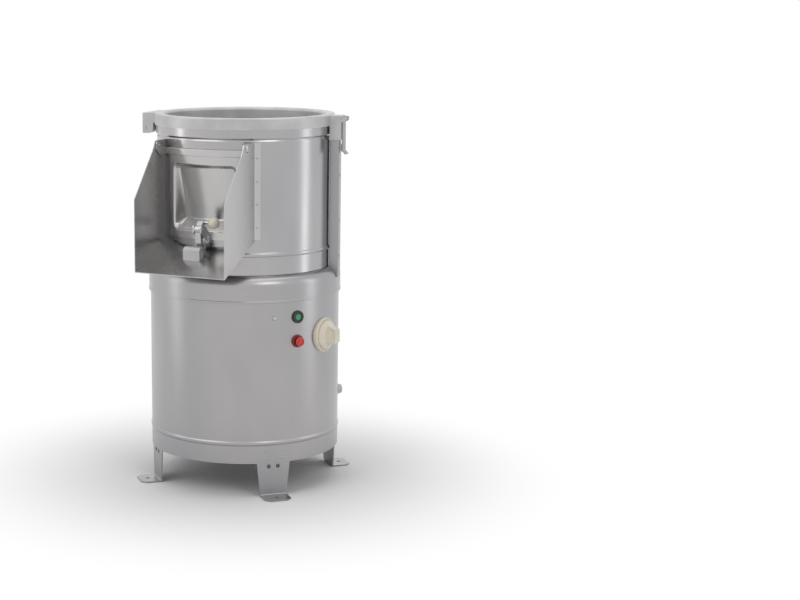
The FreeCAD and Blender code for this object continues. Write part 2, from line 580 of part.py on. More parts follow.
def ring_latch():
    body = new_body("ring_latch", "latch_turn")
    pin_u = "(lug_reach + blade_thick + 2)"
    pin_z = f"({LUG_TOP} - blade_pin_drop)"
    face = "(lug_reach + 0.5)"
    back = f"({face} + blade_thick)"
    tip = f"({RING_TOP} - blade_long)"
    nose = f"({RING_TOP} - keeper_drop - 0.3)"
    side = draw(body, "YZ_Plane")
    outline(side, [(f"-{face}", f"{pin_z} - 2"), (f"-{face}", f"{nose}"),
        ("-(drum_r + band_rise + post_gap + post_depth + 1)", nose, "0.8"),
                   ("-(drum_r + band_rise + post_gap + post_depth + 1)", f"{nose} - 3"),
                   (f"-{face}", f"{nose} - 7"), (f"-{face} + 0", f"{tip} + 2"),
                   (f"-{face} - 8", f"{tip} - 6"), (f"-{face} - 10", f"{tip} - 4.5"),
                   (f"-{back}", f"{tip} + 3"), (f"-{back}", pin_z)])
    pad(body, side, "blade_w", both=True)
    knuckle = draw(body, "YZ_Plane")
    pad(body, circle(knuckle, f"-{pin_u}", pin_z, f"blade_pin_r + 1.8"), "blade_w", both=True)
    bore = draw(body, "YZ_Plane")
    cut(body, circle(bore, f"-{pin_u}", pin_z, "blade_pin_r + run_fit"), "blade_w + 4", both=True)


def discharge_door():
    body = new_body("discharge_door")
    plate = draw(body, turn="-90")
    box(plate, DOOR_IN, DOOR_LOW, DOOR_OUT, f"{DOOR_LOW} + door_height + door_tail")
    revolve(body, plate, angle="2 * door_half", middle=True)
    low = f"({DOOR_LOW} + mouth_low)"
    high = f"({DOOR_LOW} + mouth_high)"
    boss = draw(body, turn="-90")
    grow = "door_sheet"
    outline(boss, [(f"{DOOR_IN} + 0.5", f"{low} - {grow}"), (f"{DOOR_IN} + 0.5", f"{high} + {grow}"),
                   (f"{DOOR_OUT} - dish_top_depth - {grow}", f"{high} + {grow} - 4"),
                   (f"{DOOR_OUT} - dish_low_depth - {grow}", f"{low} + dish_ramp - {grow}")])
    revolve(body, boss, angle="2 * dish_half", middle=True)
    dish = draw(body, turn="-90")
    outline(dish, [(f"{DOOR_OUT} + 1", f"{low} - 0.7"), (f"{DOOR_OUT} + 1", f"{high} + 0.4"),
        (f"{DOOR_OUT} - dish_top_depth", f"{high} - 4"),
                   (f"{DOOR_OUT} - dish_low_depth", f"{low} + dish_ramp")])
    revolve(body, dish, "Groove", angle="2 * (dish_half - dish_side)", middle=True)


def door_gasket():
    body = new_body("door_gasket")
    low = f"({DOOR_LOW} + mouth_low - door_sheet - opening_margin)"
    high = f"({DOOR_LOW} + mouth_high + door_sheet + opening_margin)"
    section = draw(body, turn="-90")
    box(section, "drum_r + 0.3", f"{low} - 7", f"{DOOR_IN} - gasket_seat", f"{high} + 7")
    revolve(body, section, angle="2 * door_half - 1", middle=True)
    inner = draw(body)
    box(inner, "-opening_half_w - 0.5", low, "opening_half_w + 0.5", high, "opening_corner")
    cut(body, inner, "drum_r + 20")


def door_hinge_frame():
    body = new_body("door_hinge_frame")
    low = f"({DOOR_LOW} + strip_up)"
    ends = "(asin((ear_half + ear_thick / 2) / (drum_r + gasket_thick + door_sheet)) / 1 deg)"
    strip = draw(body, turn="-90")
    box(strip, DOOR_OUT, low, f"{DOOR_OUT} + strip_thick", f"{low} + strip_height", "0.8")
    revolve(body, strip, angle=f"2 * {ends}", middle=True)
    rear = "(chute_back + 11)"
    for back in (False, True):
        ear = draw(body, "YZ_Plane", lift="-ear_half" if back else "ear_half")
        outline(ear, [(f"-{rear}", f"{low} - 8"), (f"-{rear}", f"{PIVOT_Z} + 9"),
            ("-pivot_out - 14", f"{PIVOT_Z} + 9", "5"),
                      ("-pivot_out - 14", f"{PIVOT_Z} - 8", "3"), ("-pivot_out + 8", f"{low} - 8", "3")])
        pad(body, ear, "ear_thick", back=back)
    bore = draw(body, "YZ_Plane")
    cut(body, circle(bore, "-pivot_out", PIVOT_Z, "pivot_r + run_fit"), "2 * (ear_half + ear_thick) + 4",
        both=True)


def door_pivot(label, sign):
    body = new_body(label)
    side = draw(body, lift="pivot_out", shift=("0", PIVOT_Z))
    start, wing, head = f"{sign}(ear_half - 2)", f"{sign}(chute_half + 0.02)", f"{sign}(chute_half + 3.5)"
    outline(side, [(start, "0"), (start, "pivot_r"), (wing, "pivot_r"), (wing, "pivot_r + 4"), (head,
        "pivot_r + 2", "1.5"), (head, "0")])
    revolve(body, side, axis="H_Axis")


def catch_block():
    body = new_body("catch_block")
    low = f"({DRUM_LOW} + chute_low)"
    slope = "(chute_root - chute_low) / (chute_front - chute_back)"
    lift = "sheet * 1.1 + 0.1"
    side = draw(body, "YZ_Plane")
    outline(side, [("-block_back", f"{low} + (chute_front - block_back) * {slope} + {lift}"),
        ("-block_back", f"{DRUM_LOW} + block_top"),
                   ("-block_front + 5", f"{DRUM_LOW} + block_top", "1"),
                   ("-block_front", f"{DRUM_LOW} + block_top - 6", "1"),
                   ("-block_front", f"{low} + (chute_front - block_front) * {slope} + {lift}")])
    pad(body, side, "block_w", both=True)


def latch_bracket():
    body = new_body("latch_bracket")
    base = draw(body, "XY_Plane", lift=f"{DOOR_LOW} - 4")
    box(base, "-2", f"-{DOOR_OUT} - base_stand", "cheek_side + 2", f"-{DOOR_OUT} + 3")
    pad(body, base, "16")
    for start in ("0", "cheek_side - cheek_thick"):
        cheek = draw(body, "YZ_Plane", lift=start)
        outline(cheek, [(f"-{DOOR_OUT}", f"{DOOR_LOW} - 4"), (f"-{DOOR_OUT}", f"{DOOR_LOW} + 12"),
            ("-hook_out + 6", f"{HOOK_Z} + 9", "4"),
                        ("-hook_out - 8", f"{HOOK_Z} + 9", "5"), ("-hook_out - 8", f"{HOOK_Z} - 7", "4"),
                        ("-hook_out + 20", f"{DOOR_LOW} - 4")])
        pad(body, cheek, "cheek_thick")
    clear = draw(body)
    box(clear, "0", f"{DOOR_LOW} - 10", f"{DOOR_OUT} + 0.05", f"{DOOR_LOW} + 40")
    revolve(body, clear, "Groove")
    bore = draw(body, "YZ_Plane")
    cut(body, circle(bore, "-hook_out", HOOK_Z, "hook_pin_r + 0.02"), "3 * cheek_side", both=True)


def latch_axle():
    body = new_body("latch_axle")
    side = draw(body, "YZ_Plane", lift="-2")
    pad(body, circle(side, "-hook_out", HOOK_Z, "hook_pin_r"), "cheek_side + 4")


def latch_hook():
    body = new_body("latch_hook")
    inner = "(cheek_thick + 0.5)"
    wide = "(cheek_side - 2 * cheek_thick - 1)"
    hub = draw(body, "YZ_Plane", lift=inner)
    pad(body, circle(hub, "-hook_out", HOOK_Z, "hook_hub_r"), wide)
    tail = draw(body, "YZ_Plane", lift=inner)
    tip = f"({DRUM_LOW} + block_top - 8)"
    outline(tail, [("-hook_out + 5", HOOK_Z), ("-hook_out + 8", f"{tip} + 14", "3"), ("-block_back + 10",
        f"{tip} + 2"), ("-block_back + 6", tip),
                   ("-block_back + 0.6", tip), ("-block_back + 0.6", f"{tip} + 9"),
                   ("-hook_out - 2", f"{tip} + 16", "3"), ("-hook_out - 5", HOOK_Z)])
    pad(body, tail, wide)
    horn = draw(body, "YZ_Plane", lift=inner)
    outline(horn, [("-hook_out + 6", f"{HOOK_Z} - 3"), ("-hook_out + ball_back + 4",
        f"{HOOK_Z} + ball_rise - 4", "2"),
                   ("-hook_out + ball_back + 4", f"{HOOK_Z} + ball_rise + 4", "2"),
                   ("-hook_out + ball_back - 4", f"{HOOK_Z} + ball_rise + 4", "2"),
                   ("-hook_out - 2", f"{HOOK_Z} + 7")])
    pad(body, horn, wide)
    rod = draw(body, "YZ_Plane", lift=f"{inner} + 2")
    pad(body, circle(rod, "-hook_out + ball_back", f"{HOOK_Z} + ball_rise", "arm_r"), "ball_side - 12")
    bore = draw(body, "YZ_Plane")
    cut(body, circle(bore, "-hook_out", HOOK_Z, "hook_pin_r + run_fit"), "3 * cheek_side", both=True)


def latch_ball():
    body = new_body("latch_ball")
    side = draw(body, lift="hook_out - ball_back", shift=("0", f"{HOOK_Z} + ball_rise"))
    flat = "(ball_side - ball_r + 1.5)"
    turns = (22.5, 45, 67.5, 90, 112.5, 135)
    curve = [(f"ball_side + ball_r * cos({turn})", f"ball_r * sin({turn})") for turn in turns]
    outline(side, [("ball_side + ball_r", "0")] + curve + [(flat, "arm_r + 2.4"), (flat, "arm_r + 0.02"),
        ("ball_side - 4", "arm_r + 0.02"), ("ball_side - 4", "0")])
    revolve(body, side, axis="H_Axis")


def abrasive_disc():
    body = new_body("abrasive_disc")
    top = f"({DISC_Z} + disc_thick)"
    points = [("shaft_seat_r + 0.02", DISC_Z), ("disc_r * 0.6", DISC_Z),
        ("disc_r", f"{DISC_Z} + disc_rim * 0.5"), ("disc_r", f"{top} + disc_rim", "2.5"),
              ("disc_r - 16", f"{top} + disc_rim * 0.4", "6"), ("disc_r * 0.55", top, "30"),
              ("shaft_seat_r + 0.02", top)]
    revolve(body, outline(draw(body), points))
    wave = draw(body, lift="nut_r + 14")
    outline(wave, [("-28", f"{top} - 2"), ("-9", f"{top} + 8", "8"), ("9", f"{top} + 8", "8"), ("28",
        f"{top} - 2")])
    ridge = pad(body, wave, "disc_r - nut_r - 14 - 12")
    doc.recompute()
    polar(body, ridge, "3")
    vane = draw(body, "XY_Plane", lift=f"{DISC_Z} - 16")
    box(vane, "-4", "-disc_r + 8", "4", "-housing_r - 24")
    sweep = pad(body, vane, "18")
    doc.recompute()
    polar(body, sweep, "2")


def drive_shaft():
    body = new_body("drive_shaft")
    low = f"({PULLEY_Z} - pulley_h)"
    points = [("0", low), ("shaft_r", low), ("shaft_r", DISC_Z), ("shaft_seat_r", DISC_Z),
        ("shaft_seat_r", f"{DISC_Z} + disc_thick + 6"), ("0", f"{DISC_Z} + disc_thick + 6")]
    revolve(body, outline(draw(body), points))


def disc_nut():
    body = new_body("disc_nut")
    low = f"({DISC_Z} + disc_thick)"
    points = [("shaft_seat_r + 0.02", low), ("nut_r + 5", low), ("nut_r + 5", f"{low} + 3", "1"),
        ("nut_r", f"{low} + 4"), ("nut_r", f"{low} + nut_height", "10"),
              ("0", f"{low} + nut_height + 5"), ("0", f"{low} + 6.1"),
              ("shaft_seat_r + 0.02", f"{low} + 6.1")]
    revolve(body, outline(draw(body), points))


def bearing_housing():
    body = new_body("bearing_housing")
    top = f"({DRUM_LOW} + floor_up + floor_rise + 5)"
    plate = f"({CAP_TOP} - sheet - 0.05)"
    low = f"({CAP_TOP} - housing_depth)"
    points = [("bearing_r", low), ("housing_r", low), ("housing_r", f"{plate} - 8", "4"),
        ("hub_hole_r + 12", f"{plate} - 8"), ("hub_hole_r + 12", plate),
              ("housing_r", plate), ("housing_r", top, "2"), ("shaft_r + 3", top),
              ("shaft_r + 3", f"{top} - 4"), ("bearing_r", f"{top} - 4")]
    revolve(body, outline(draw(body), points))


def ring_piece(label, inner, outer, low, height):
    body = new_body(label)
    revolve(body, box(draw(body), inner, low, outer, f"{low} + {height}", "0.6"))


def pulley(label, radius, bore, at):
    body = new_body(label)
    side = draw(body, lift=at)
    low, high = f"({PULLEY_Z} - pulley_h / 2)", f"({PULLEY_Z} + pulley_h / 2)"
    half = "(belt_h / 2 + belt_gap)"
    deep = f"({radius} - 2 - belt_deep - belt_gap)"
    outline(side, [(bore, low), (radius, low), (radius, f"{PULLEY_Z} - {half} - 1.2"), (deep,
        f"{PULLEY_Z} - {half}"), (deep, f"{PULLEY_Z} + {half}"),
                   (radius, f"{PULLEY_Z} + {half} + 1.2"), (radius, high), (bore, high)])
    revolve(body, side)


def belt_loop(large, small, apart, height):
    """The solid inside a taut loop round two circles whose centres lie apart along -Y."""
    lean = math.asin((large - small) / apart)
    side = FreeCAD.Vector(math.cos(lean), -math.sin(lean), 0)
    other = FreeCAD.Vector(-side.x, side.y, 0)
    near, far = FreeCAD.Vector(0, 0, 0), FreeCAD.Vector(0, -apart, 0)
    back = Part.Arc(near + side * large, FreeCAD.Vector(0, large, 0), near + other * large).toShape()
    front = Part.Arc(far + other * small, far + FreeCAD.Vector(0, -small, 0), far + side * small).toShape()
    runs = [Part.makeLine(near + other * large, far + other * small),
        Part.makeLine(far + side * small, near + side * large)]
    return Part.Face(Part.Wire([back, runs[0], front, runs[1]])).extrude(FreeCAD.Vector(0, 0, height))


def v_belt():
    belt = doc.addObject("Part::Feature", "v_belt")
    belt.Label = "v_belt"
    large, small = number("pulley_r - 2"), number("motor_pulley_r - 2")
    apart, height, deep = number("motor_at"), number("belt_h"), number("belt_deep")
    solid = belt_loop(large, small, apart, height).cut(belt_loop(large - deep, small - deep, apart, height))
    belt.Shape = solid
    belt.Placement.Base.z = number(f"{PULLEY_Z} - belt_h / 2")
    nodes.append(belt)


def motor_deck():
    body = new_body("motor_deck")
    rim = f"({BASE_IN} - deck_gap)"
    points = [("0", DECK_Z), (f"{rim} - deck_thick", DECK_Z), (f"{rim} - deck_thick", f"{DECK_Z} - 20"),
        (rim, f"{DECK_Z} - 20"), (rim, f"{DECK_Z} + deck_thick", "3"),
              ("0", f"{DECK_Z} + deck_thick")]
    revolve(body, outline(draw(body), points))
    holes = draw(body, "XY_Plane", lift=f"{DECK_Z} - 2")
    circle(holes, "0", "0", "shaft_r + 6")
    circle(holes, "0", "-motor_at", "motor_shaft_r + 5")
    cut(body, holes, "deck_thick + 4")
    notch = draw(body, "XY_Plane", turn="gland_turn", lift=f"{DECK_Z} - 30")
    box(notch, "-gland_r - 8", f"-{BASE_IN} - 5", "gland_r + 8", f"-{BASE_IN} + 30")
    cut(body, notch, "deck_thick + 34")


def motor_body():
    body = new_body("motor_body")
    low = f"({DECK_Z} + deck_thick + 0.05)"
    side = draw(body, lift="motor_at")
    points = [("motor_shaft_r + 0.05", low), ("motor_r + 3", low), ("motor_r + 3", f"{low} + 10"),
        ("motor_r - 4", f"{low} + 16"), ("motor_r - 4", f"{low} + motor_h - 45"),
              ("motor_r", f"{low} + motor_h - 40"), ("motor_r", f"{low} + motor_h", "10"),
              ("0", f"{low} + motor_h"), ("0", f"{low} + motor_h - 40"),
              ("motor_shaft_r + 0.05", f"{low} + motor_h - 40")]
    revolve(body, outline(side, points))
    fin = draw(body, "XY_Plane", lift=f"{low} + 8")
    box(fin, "-1.5", "-motor_at - motor_r", "1.5", "-motor_at - motor_r + 8")
    rib = pad(body, fin, "motor_h - 50")
    doc.recompute()
    pattern = polar(body, rib, "fin_count")
    pattern.Axis = (side, ["V_Axis"])


def motor_shaft():
    body = new_body("motor_shaft")
    side = draw(body, lift="motor_at")
    high = f"{DECK_Z} + deck_thick + motor_h - 50"
    revolve(body, box(side, "0", f"{PULLEY_Z} - pulley_h / 2 - 3", "motor_shaft_r", high))


def bezel(label, drop):
    body = new_body(label, "button_turn")
    side = draw(body, "YZ_Plane", shift=("0", f"{CAP_LOW} - {drop}"))
    bore = "cap_r_small + 0.4"
    outline(side, [(f"-({BASE_IN} - 1.2)", bore), (f"-({BASE_IN} - 1.2)", "button_r"), ("-base_r - 0.05",
        "button_r"), ("-base_r - 0.05", "bezel_r"),
                   ("-base_r - bezel_out", "bezel_r - 1", "1.2"), ("-base_r - bezel_out", bore)])
    revolve(body, side, axis="H_Axis")


def push_cap(label, drop, points):
    body = new_body(label, "button_turn")
    side = draw(body, "YZ_Plane", shift=("0", f"{CAP_LOW} - {drop}"))
    start = f"-({BASE_IN} - 1.2) - button_travel - 0.4"
    outline(side, [(start, "0"), (start, "cap_r_small")] + points)
    revolve(body, side, axis="H_Axis")


def block_behind(label, turn, drop):
    body = new_body(label, turn)
    front = f"({BASE_IN} - 1.3)"
    face = draw(body, lift=f"{front} - contact_deep")
    level = f"({CAP_LOW} - {drop})"
    box(face, "-contact_w / 2", f"{level} - contact_h / 2", "contact_w / 2", f"{level} + contact_h / 2",
        "2")
    pad(body, face, "contact_deep")


def timer_dial():
    body = new_body("timer_dial", "timer_turn")
    side = draw(body, "YZ_Plane", shift=("0", f"{CAP_LOW} - timer_drop"))
    outline(side, [("-base_r + 5", "spindle_r + 0.5"), ("-base_r + 5", "dial_r"), ("-base_r - dial_thick",
        "dial_r", "2"), ("-base_r - dial_thick", "spindle_r + 0.5")])
    revolve(body, side, axis="H_Axis")
    clear = draw(body)
    box(clear, "0", f"{CAP_LOW} - timer_drop - 60", "base_r + 0.05", f"{CAP_LOW} - timer_drop + 60")
    revolve(body, clear, "Groove")


def timer_knob():
    body = new_body("timer_knob", "timer_turn")
    face = "(base_r + dial_thick + 0.4)"
    side = draw(body, "YZ_Plane", shift=("0", f"{CAP_LOW} - timer_drop"))
    outline(side, [(f"-{face}", "0"), (f"-{face}", "knob_r"), (f"-{face} - 4", "knob_r", "2"),
        (f"-{face} - knob_dome", "knob_r - 9", "9"), (f"-{face} - knob_dome - 3", "0")])
    revolve(body, side, axis="H_Axis")
    grip = draw(body, "YZ_Plane", shift=("0", f"{CAP_LOW} - timer_drop"))
    outline(grip, [(f"-{face} - 2", "knob_r - 5"), (f"-{face} - grip_out", "15", "4"),
        (f"-{face} - grip_out", "-15", "4"), (f"-{face} - 2", "-knob_r + 5")])
    pad(body, grip, "grip_w", both=True)


def timer_spindle():
    body = new_body("timer_spindle", "timer_turn")
    side = draw(body, "YZ_Plane", shift=("0", f"{CAP_LOW} - timer_drop"))
    box(side, f"-(base_r + dial_thick + 0.35)", "0", f"-({BASE_IN} - 20)", "spindle_r")
    revolve(body, side, axis="H_Axis")


def timer_body():
    body = new_body("timer_body", "timer_turn")
    side = draw(body, "YZ_Plane", shift=("0", f"{CAP_LOW} - timer_drop"))
    front = f"({BASE_IN} - 2.5)"
    back = f"({BASE_IN} - timer_deep)"
    outline(side, [(f"-{front}", "spindle_r + run_fit"), (f"-{front}", "timer_box_r", "3"), (f"-{back}",
        "timer_box_r", "3"), (f"-{back}", "0"),
                   (f"-({BASE_IN} - 21)", "0"), (f"-({BASE_IN} - 21)", "spindle_r + run_fit")])
    revolve(body, side, axis="H_Axis")


def panel_screw():
    body = new_body("panel_screw", "screw_turn")
    side = draw(body, "YZ_Plane", shift=("0", f"{CAP_LOW} - screw_drop"))
    outline(side, [(f"-{BASE_IN} + 8", "0"), (f"-{BASE_IN} + 8", "screw_head_r * 0.55"), ("-base_r - 0.05",
        "screw_head_r * 0.55"), ("-base_r - 0.05", "screw_head_r"),
                   ("-base_r - 3", "screw_head_r * 0.7", "1.5"), ("-base_r - 3", "0")])
    revolve(body, side, axis="H_Axis")


def cable_gland():
    body = new_body("cable_gland", "gland_turn")
    side = draw(body, "YZ_Plane", shift=("0", "leg_height + gland_up"))
    outline(side, [(f"-{BASE_IN} + 12", "gland_bore_r"), (f"-{BASE_IN} + 12", "gland_thread_r"),
        ("-base_r - 0.05", "gland_thread_r"), ("-base_r - 0.05", "gland_r"),
                   ("-base_r - gland_out * 0.4", "gland_r"),
                   ("-base_r - gland_out * 0.45", "gland_r - 1.2"),
                   ("-base_r - gland_out", "gland_r - 3", "2.5"),
                   ("-base_r - gland_out", "gland_bore_r")])
    revolve(body, side, axis="H_Axis")


def gland_nut():
    body = new_body("gland_nut", "gland_turn")
    side = draw(body, "YZ_Plane", shift=("0", "leg_height + gland_up"))
    box(side, f"-{BASE_IN} + 1.2", "gland_thread_r + 0.02", f"-{BASE_IN} + 7", "gland_r + 2")
    revolve(body, side, axis="H_Axis")


def earth_stud():
    body = new_body("earth_stud", "135")
    side = draw(body, "YZ_Plane", lift="leg_hole_side", shift=("0", "leg_height - leg_hole_drop"))
    inner = f"({LEG_SEAT} - leg_thick - 0.05)"
    outer = f"({LEG_SEAT} + 0.05)"
    outline(side, [(f"-{inner} + 5", "0"), (f"-{inner} + 5", "stud_r + 2.5"), (f"-{inner}", "stud_r + 2.5"),
        (f"-{inner}", "stud_r"), (f"-{outer}", "stud_r"),
                   (f"-{outer}", "stud_r + 2.5"), (f"-{outer} - 5", "stud_r + 2.5"),
                   (f"-{outer} - 5", "stud_r"), (f"-{outer} - stud_out", "stud_r", "0.8"),
                   (f"-{outer} - stud_out", "0")])
    revolve(body, side, axis="H_Axis")


builders = [base_shell, base_cap, drum_shell, chamber_floor, abrasive_liner, drain_duct, drain_spout, chute,
            latch_post, hinge_bracket, hinge_pin, top_ring, latch_pin, ring_latch, discharge_door,
            door_gasket,
            door_hinge_frame, catch_block, latch_bracket, latch_axle, latch_hook, latch_ball, abrasive_disc,
            drive_shaft, disc_nut, bearing_housing, v_belt, motor_deck, motor_body, motor_shaft, timer_dial,
            timer_knob, timer_spindle, timer_body, panel_screw, cable_gland, gland_nut, earth_stud]
for build in builders:
    build()
door_pivot("door_pivot_right", "")
door_pivot("door_pivot_left", "-")
ring_piece("upper_bearing", "shaft_r + run_fit", "bearing_r - 0.02", f"({CAP_TOP} - 26)", "bearing_h")
ring_piece("lower_bearing", "shaft_r + run_fit", "bearing_r - 0.02", f"({CAP_TOP} - housing_depth + 3)",
    "bearing_h")
ring_piece("shaft_seal", "shaft_r + run_fit", "bearing_r - 0.02",
    f"({DRUM_LOW} + floor_up + floor_rise + 1 - seal_h)", "seal_h - 0.1")
pulley("driven_pulley", "pulley_r", "shaft_r + 0.02", "0")
pulley("motor_pulley", "motor_pulley_r", "motor_shaft_r + 0.02", "motor_at")
bezel("green_bezel", "green_drop")
bezel("red_bezel", "red_drop")
push_cap("green_button", "green_drop", [("-base_r - green_out", "cap_r_small", "1"), ("-base_r - green_out",
    "0")])
push_cap("red_button", "red_drop", [("-base_r - bezel_out - button_travel - 0.5", "cap_r_small"),
    ("-base_r - bezel_out - button_travel - 0.5", "red_cap_r"),
                                    ("-base_r - red_out", "red_cap_r", "2"),
                                    ("-base_r - red_out - 1", "0")])
block_behind("green_contact", "button_turn", "green_drop")
block_behind("red_contact", "button_turn", "red_drop")
for label, turn in (("leg_front_right", 45), ("leg_rear_right", 135), ("leg_rear_left", -135),
    ("leg_front_left", -45)):
    leg(label, str(turn))

doc.recompute()
failed = []
for thing in doc.Objects:
    if any(flag in thing.State for flag in ("Invalid", "Error")):
        failed.append(thing.Name)
for node in nodes:
    if node.Shape.isNull() or not node.Shape.isValid():
        failed.append(node.Label + " has no valid shape")
for node in nodes:
    if not node.Shape.isNull():
        extent = node.Shape.BoundBox
        print(f"{node.Label:18} solids {len(node.Shape.Solids)} volume {node.Shape.Volume:11.0f}",
              f"x {extent.XMin:.1f} {extent.XMax:.1f} y {extent.YMin:.1f} {extent.YMax:.1f} z {extent.ZMin:.1f} {extent.ZMax:.1f}")
if failed:
    raise RuntimeError("not built: " + ", ".join(failed))

os.makedirs("parts", exist_ok=True)
for node in nodes:
    node.Shape.exportStep(f"parts/{node.Label}.step")
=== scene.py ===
"""Looks for the drum peeler: materials, small fittings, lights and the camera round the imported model."""

import bmesh
import bpy
import json
import math
from mathutils import Matrix, Vector


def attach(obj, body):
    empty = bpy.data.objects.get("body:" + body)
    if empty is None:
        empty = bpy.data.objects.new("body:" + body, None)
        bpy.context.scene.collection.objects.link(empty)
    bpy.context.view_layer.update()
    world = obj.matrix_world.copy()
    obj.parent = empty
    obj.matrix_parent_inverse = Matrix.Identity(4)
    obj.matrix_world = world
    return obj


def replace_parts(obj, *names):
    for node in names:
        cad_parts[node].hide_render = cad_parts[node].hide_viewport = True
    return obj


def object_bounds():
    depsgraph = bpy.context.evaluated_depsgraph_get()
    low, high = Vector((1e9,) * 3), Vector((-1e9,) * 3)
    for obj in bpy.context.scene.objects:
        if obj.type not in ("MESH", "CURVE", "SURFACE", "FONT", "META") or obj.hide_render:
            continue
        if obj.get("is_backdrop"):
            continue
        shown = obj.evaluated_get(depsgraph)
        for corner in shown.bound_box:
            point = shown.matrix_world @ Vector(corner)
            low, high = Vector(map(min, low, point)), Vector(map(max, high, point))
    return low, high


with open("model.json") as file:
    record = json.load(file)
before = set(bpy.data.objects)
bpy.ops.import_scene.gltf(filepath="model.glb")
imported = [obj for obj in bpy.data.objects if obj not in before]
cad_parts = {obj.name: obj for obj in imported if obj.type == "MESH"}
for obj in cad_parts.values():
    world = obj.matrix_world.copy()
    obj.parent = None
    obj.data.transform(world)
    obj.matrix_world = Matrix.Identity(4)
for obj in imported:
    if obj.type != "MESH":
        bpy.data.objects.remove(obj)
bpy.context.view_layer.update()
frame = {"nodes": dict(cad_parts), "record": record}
scene = bpy.context.scene
scene.view_settings.view_transform = "Standard"
nodes = frame["nodes"]


def bearing(turn, radius, z=0.0):
    """A point at a bearing counted from the chute towards +X."""
    a = math.radians(turn)
    return Vector((math.sin(a) * radius, -math.cos(a) * radius, z))


def shader(name, colour, metallic, rough, coat=0.0):
    """A plain material, with its node tree and its main shader."""
    made = bpy.data.materials.new(name)
    made.use_nodes = True
    tree = made.node_tree
    lit = tree.nodes["Principled BSDF"]
    lit.inputs["Base Color"].default_value = (*colour, 1)
    lit.inputs["Metallic"].default_value = metallic
    lit.inputs["Roughness"].default_value = rough
    lit.inputs["Coat Weight"].default_value = coat
    return made, tree, lit


def noise(tree, stretch, detail=3.0):
    """Object-space noise, stretched by a scale per axis."""
    where = tree.nodes.new("ShaderNodeTexCoord")
    fit = tree.nodes.new("ShaderNodeMapping")
    fit.inputs["Scale"].default_value = stretch
    made = tree.nodes.new("ShaderNodeTexNoise")
    made.inputs["Scale"].default_value = 1.0
    made.inputs["Detail"].default_value = detail
    tree.links.new(where.outputs["Object"], fit.inputs["Vector"])
    tree.links.new(fit.outputs["Vector"], made.inputs["Vector"])
    return made


def spread(tree, source, low, high):
    """Maps a 0.3 to 0.7 value onto low to high."""
    made = tree.nodes.new("ShaderNodeMapRange")
    made.inputs["From Min"].default_value = 0.3
    made.inputs["From Max"].default_value = 0.7
    made.inputs["To Min"].default_value = low
    made.inputs["To Max"].default_value = high
    tree.links.new(source.outputs["Fac"], made.inputs["Value"])
    return made.outputs["Result"]


def tint(tree, lit, source, first, second):
    """Mottles the base colour between two close shades."""
    ramp = tree.nodes.new("ShaderNodeValToRGB")
    ramp.color_ramp.elements[0].position = 0.35
    ramp.color_ramp.elements[0].color = (*first, 1)
    ramp.color_ramp.elements[1].position = 0.65
    ramp.color_ramp.elements[1].color = (*second, 1)
    tree.links.new(source.outputs["Fac"], ramp.inputs["Fac"])
    tree.links.new(ramp.outputs["Color"], lit.inputs["Base Color"])


def bumps(tree, lit, layers):
    """Stacks bumps: each layer is a height source and its depth in metres."""
    below = None
    for source, depth in layers:
        made = tree.nodes.new("ShaderNodeBump")
        made.inputs["Strength"].default_value = 1.0
        made.inputs["Distance"].default_value = depth
        tree.links.new(source.outputs[0], made.inputs["Height"])
        if below:
            tree.links.new(below.outputs["Normal"], made.inputs["Normal"])
        below = made
    tree.links.new(below.outputs["Normal"], lit.inputs["Normal"])


def sway(tree, lit, stretch, amount):
    """Tips the surface normal a little, as the soft waves of a rolled sheet do."""
    source = noise(tree, stretch, 1.0)
    surface = tree.nodes.new("ShaderNodeNewGeometry")
    centre, scale, add, unit = [tree.nodes.new("ShaderNodeVectorMath") for _ in range(4)]
    centre.operation = "SUBTRACT"
    centre.inputs[1].default_value = (0.5, 0.5, 0.5)
    scale.operation = "SCALE"
    scale.inputs["Scale"].default_value = amount
    unit.operation = "NORMALIZE"
    tree.links.new(source.outputs["Color"], centre.inputs[0])
    tree.links.new(centre.outputs[0], scale.inputs[0])
    tree.links.new(scale.outputs[0], add.inputs[0])
    tree.links.new(surface.outputs["Normal"], add.inputs[1])
    tree.links.new(add.outputs[0], unit.inputs[0])
    tree.links.new(unit.outputs[0], lit.inputs["Normal"])


def steel(name, colour, rough, wave=0.09, grain=(24, 24, 6), warm=0.03):
    """Rolled sheet: soft waves of the panel, a fine grain, patches of duller and brighter metal."""
    made, tree, lit = shader(name, colour, 1.0, rough)
    patch = noise(tree, (6, 6, 2.2))
    bright = [min(1.0, colour[0] + warm), colour[1] + warm * 0.6, colour[2] + warm * 0.4]
    tint(tree, lit, patch, [c * 0.93 for c in colour], bright)
    smear = noise(tree, grain, 1.0)
    tree.links.new(spread(tree, smear, rough - 0.02, rough + 0.03), lit.inputs["Roughness"])
    sway(tree, lit, (8, 8, 2), wave)
    return made


def rough_metal(name, colour, rough, size, depth, metallic=1.0):
    """Cast, painted or turned metal with a fine skin."""
    made, tree, lit = shader(name, colour, metallic, rough)
    patch = noise(tree, (22, 22, 22))
    tint(tree, lit, patch, [c * 0.9 for c in colour], [min(1.0, c * 1.06) for c in colour])
    dull = spread(tree, noise(tree, (60, 60, 60)), rough - 0.05, rough + 0.07)
    tree.links.new(dull, lit.inputs["Roughness"])
    bumps(tree, lit, [(noise(tree, (size, size, size), 5.0), depth)])
    return made


